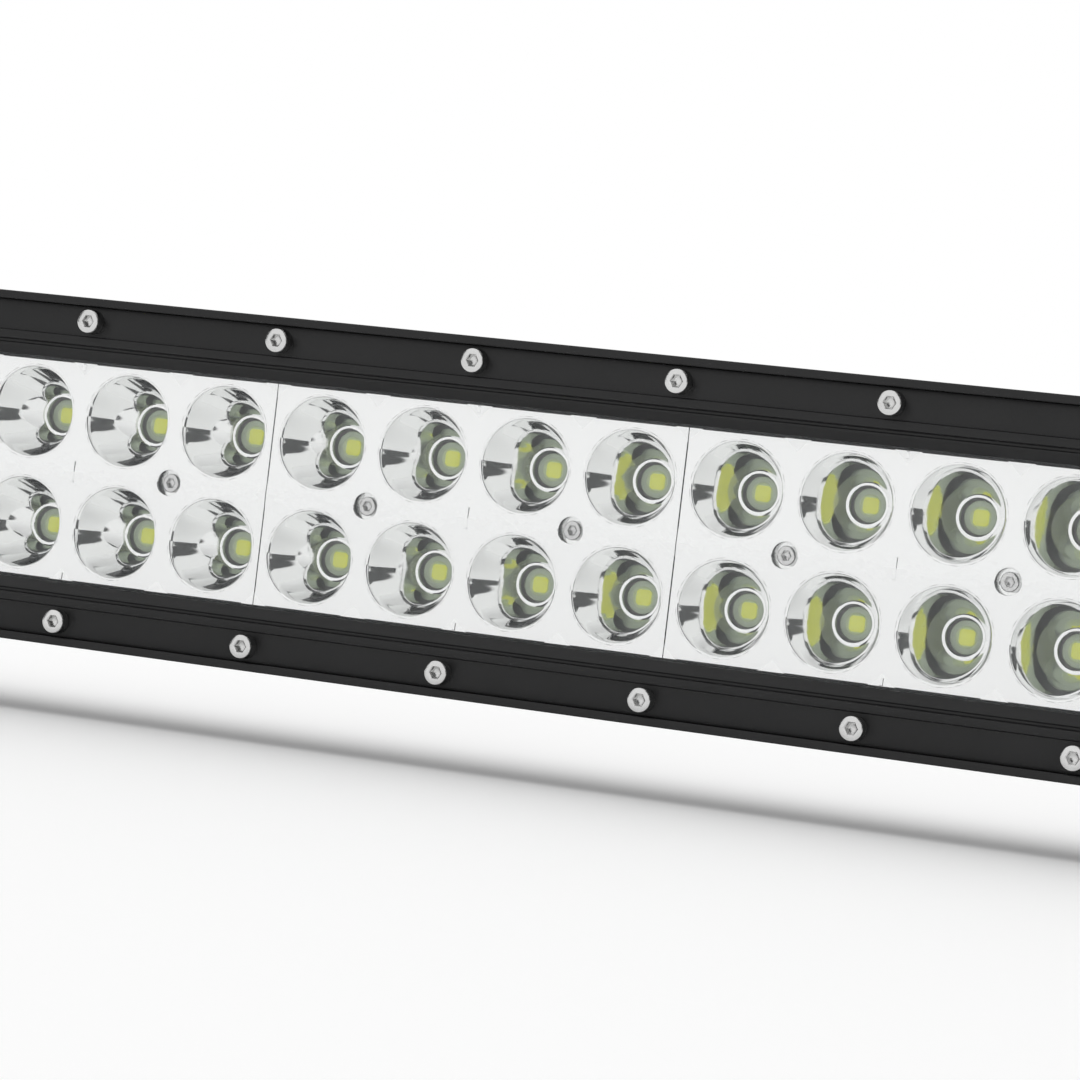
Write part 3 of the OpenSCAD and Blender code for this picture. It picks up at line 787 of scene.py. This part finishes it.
MATERIALS = {
    "coat": powder_coat(),
    "chrome": chrome(),
    "steel": grained("stainless", (0.66, 0.66, 0.655), 1, 0.2, 3000, 0.12, 0.05, 0.06)[0],
    "lens": clear("polycarbonate", (0.95, 0.98, 1.0), 0.05, 0.03),
    "dome": clear("dome_silicone", (0.74, 0.84, 0.7), 0.2, 0.04),
    "ceramic": grained("led_ceramic", (0.8, 0.9, 0.7), 0, 0.35, 2200, 0.1, 0.05)[0],
    # The phosphor material carries a painted glow.
    "phosphor": phosphor_with_painted_glow(),
    "rubber": grained("seal_rubber", (0.03, 0.03, 0.031), 0, 0.7, 1800, 0.3)[0],
    "nylon": grained("black_nylon", (0.014, 0.014, 0.015), 0, 0.48, 1500, 0.25)[0],
    "board": grained("white_board", (0.8, 0.81, 0.79), 0, 0.4, 1500, 0.08, 0.04)[0],
    "green": grained("green_board", (0.03, 0.16, 0.06), 0, 0.35, 1500, 0.08)[0],
    "pad": grained("thermal_pad", (0.38, 0.41, 0.44), 0, 0.7, 1500, 0.2)[0],
    "ferrite": grained("ferrite", (0.045, 0.045, 0.05), 0, 0.6, 2200, 0.3)[0],
    "sleeve": grained("capacitor_sleeve", (0.03, 0.04, 0.1), 0, 0.3, 1500, 0.06)[0],
    "epoxy": grained("chip_epoxy", (0.016, 0.016, 0.016), 0, 0.5, 2600, 0.2)[0],
    "wire": grained("wire_red", (0.45, 0.02, 0.015), 0, 0.4, 1500, 0.06)[0],
    "white": grained("white_plastic", (0.8, 0.8, 0.78), 0, 0.4, 1500, 0.06)[0],
}

CAD_FINISH = {
    "coat": ["end_cap_left", "end_cap_right", "bracket_left", "bracket_right"],
    "rubber": ["end_gasket_left", "end_gasket_right", "lens_gasket", "gland_seal"],
    "nylon": ["gland_body", "gland_nut", "breather", "pivot_bush_left", "pivot_bush_right"],
    "lens": ["lens"],
    "board": [f"led_board_{i}" for i in range(1, 6)],
    "pad": ["thermal_pad"],
    "white": ["board_jumpers"],
    "green": ["driver_board"],
    "ferrite": ["driver_inductors"],
    "sleeve": ["driver_capacitors"],
    "epoxy": ["driver_chips"],
    "wire": ["lead_wires"],
}


def paint(piece, finish):
    """Gives a piece one of the finishes as its only material."""
    piece.data.materials.clear()
    piece.data.materials.append(MATERIALS[finish])


def put(piece, finish, node):
    """Gives a piece its finish and sets it in the lamp in place of a CAD node."""
    paint(piece, finish)
    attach(piece, "lamp")
    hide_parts(node)


def build_pieces():
    """Makes every piece that stands in for a CAD node."""
    for index, centre in enumerate(MODULES, 1):
        put(reflector(index, centre), "chrome", f"reflector_{index}")
    base, chip, dome = led_parts()
    put(base, "ceramic", "led_bodies")
    put(chip, "phosphor", "led_chips")
    put(dome, "dome", "led_domes")
    screws = Build()
    for centre in MODULES:
        for x in POSTS:
            cap_screw(screws, facing_front(centre + x, 0, PLATE_Y + WELL_DEPTH), *REFLECTOR_SCREW)
    put(screws.object("reflector_fixings", 25), "steel", "reflector_screws")
    for side in (-1, 1):
        level = "top" if side > 0 else "bottom"
        put(long_rail(side), "coat", f"bezel_{level}")
        put(short_rail(side), "coat", sided("bezel", side))
        places = [((i - 5) * SCREW_PITCH, side * SCREW_LINE) for i in range(11)]
        fixings = bezel_screws(f"rail_screws_{level}", places)
        put(fixings, "steel", f"bezel_screws_{level}")
        put(end_screws(side), "steel", sided("end_cap_screws", side))
        for piece, node in tilt_hardware(side):
            put(piece, "steel", node)
    end_x = OPENING_HALF + SCREW_LINE - BEZEL_INNER
    places = [(side * end_x, z) for side in (-1, 1) for z in (-14, 14)]
    put(bezel_screws("rail_screws_ends", places), "steel", "bezel_screws_ends")
    put(housing_body(), "coat", "housing")
    put(gland_dome(), "nylon", "gland_cap")


def finish_cad():
    """Paints the CAD nodes that are shown as they are, and rounds the edges of the outer ones."""
    for finish, nodes in CAD_FINISH.items():
        for node in nodes:
            paint(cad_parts[node], finish)
    for side in ("left", "right"):
        softened(f"end_cap_{side}", 0.5)
        softened(f"bracket_{side}", 0.5)
        softened(f"pivot_bush_{side}", 0.15)
    softened("gland_body", 0.3)
    softened("breather", 0.25)
    softened("lens", 0.2)


# ---- Studio ----


def floor():
    """A wide sheet of pale paper under the brackets' feet."""
    size = 40
    mesh = bpy.data.meshes.new("studio_floor")
    corners = [(-size, -size), (size, -size), (size, size), (-size, size)]
    mesh.from_pydata([(x, y, FLOOR_Z) for x, y in corners], [], [(0, 1, 2, 3)])
    piece = bpy.data.objects.new("studio_floor", mesh)
    bpy.context.scene.collection.objects.link(piece)
    made, shader = principled("floor_paper", (0.95, 0.95, 0.95), 0, 0.9)
    glow(shader, (1, 1, 1), 0.12)
    bump(made, shader, noise(made, 400), 0.02, 0.0002)
    mesh.materials.append(made)


def camera():
    """A long lens at the lamp's height, to the right of it and rolled clockwise."""
    azimuth = math.radians(22.988)
    elevation = math.radians(0.25)
    roll = math.radians(6.70)
    distance = 0.9127
    target = Vector(place(18.11, PLATE_Y, -2.91))
    back = Vector((math.sin(azimuth) * math.cos(elevation), -math.cos(azimuth) * math.cos(elevation),
                   math.sin(elevation)))
    right = (-back).cross(Vector((0, 0, 1))).normalized()
    up = right.cross(-back)
    across = right * math.cos(roll) + up * math.sin(roll)
    above = up * math.cos(roll) - right * math.sin(roll)
    data = bpy.data.cameras.new("camera")
    data.sensor_width = 36
    data.lens = 138.6
    data.clip_start = 0.05
    data.clip_end = 50
    shown = bpy.data.objects.new("camera", data)
    bpy.context.scene.collection.objects.link(shown)
    rotation = Matrix((across, above, back)).transposed().to_4x4()
    shown.matrix_world = Matrix.Translation(target + back * distance) @ rotation
    bpy.context.scene.camera = shown


def towards(azimuth, elevation):
    """The direction at an azimuth to the right of straight in front of the lamp, and an elevation."""
    a = math.radians(azimuth)
    e = math.radians(elevation)
    return math.sin(a) * math.cos(e), -math.cos(a) * math.cos(e), math.sin(e)


def dark_patch(tree, brightness, azimuth, elevation, radius, soft, level):
    """Dims the surroundings round one direction to a level, over a soft edge. All angles are in degrees."""
    nodes = tree.nodes
    where = nodes.new("ShaderNodeTexCoord")
    dot = nodes.new("ShaderNodeVectorMath")
    dot.operation = "DOT_PRODUCT"
    dot.inputs[1].default_value = towards(azimuth, elevation)
    tree.links.new(where.outputs["Generated"], dot.inputs[0])
    edge = nodes.new("ShaderNodeMapRange")
    edge.interpolation_type = "SMOOTHSTEP"
    edge.inputs["From Min"].default_value = math.cos(math.radians(radius + soft))
    edge.inputs["From Max"].default_value = math.cos(math.radians(radius))
    edge.inputs["To Min"].default_value = 1
    edge.inputs["To Max"].default_value = level
    tree.links.new(dot.outputs["Value"], edge.inputs["Value"])
    dimmed = nodes.new("ShaderNodeMath")
    dimmed.operation = "MULTIPLY"
    tree.links.new(brightness, dimmed.inputs[0])
    tree.links.new(edge.outputs["Result"], dimmed.inputs[1])
    return dimmed.outputs["Value"]


# Each patch as azimuth, elevation, radius and width of its edge in degrees, then its brightness
DARK_PATCHES = [(24, 33, 18, 4, 0.05), (24, 4, 9, 4, 0.05), (-66, 12, 17, 5, 0.06), (62, 0, 22, 8, 0.06)]


def studio():
    """Soft white surroundings with a few dark patches, as in a light tent. The backdrop itself is white."""
    world = bpy.data.worlds.new("studio")
    bpy.context.scene.world = world
    world.use_nodes = True
    tree = world.node_tree
    level = tree.nodes.new("ShaderNodeValue")
    level.outputs[0].default_value = 1
    brightness = level.outputs[0]
    for patch in DARK_PATCHES:
        brightness = dark_patch(tree, brightness, *patch)
    seen = tree.nodes.new("ShaderNodeLightPath")
    backdrop = tree.nodes.new("ShaderNodeMath")
    backdrop.operation = "MAXIMUM"
    tree.links.new(brightness, backdrop.inputs[0])
    tree.links.new(seen.outputs["Is Camera Ray"], backdrop.inputs[1])
    tree.links.new(backdrop.outputs["Value"], tree.nodes["Background"].inputs["Color"])
    bpy.context.scene.view_settings.view_transform = "Standard"


build_pieces()
finish_cad()
floor()
camera()
studio()
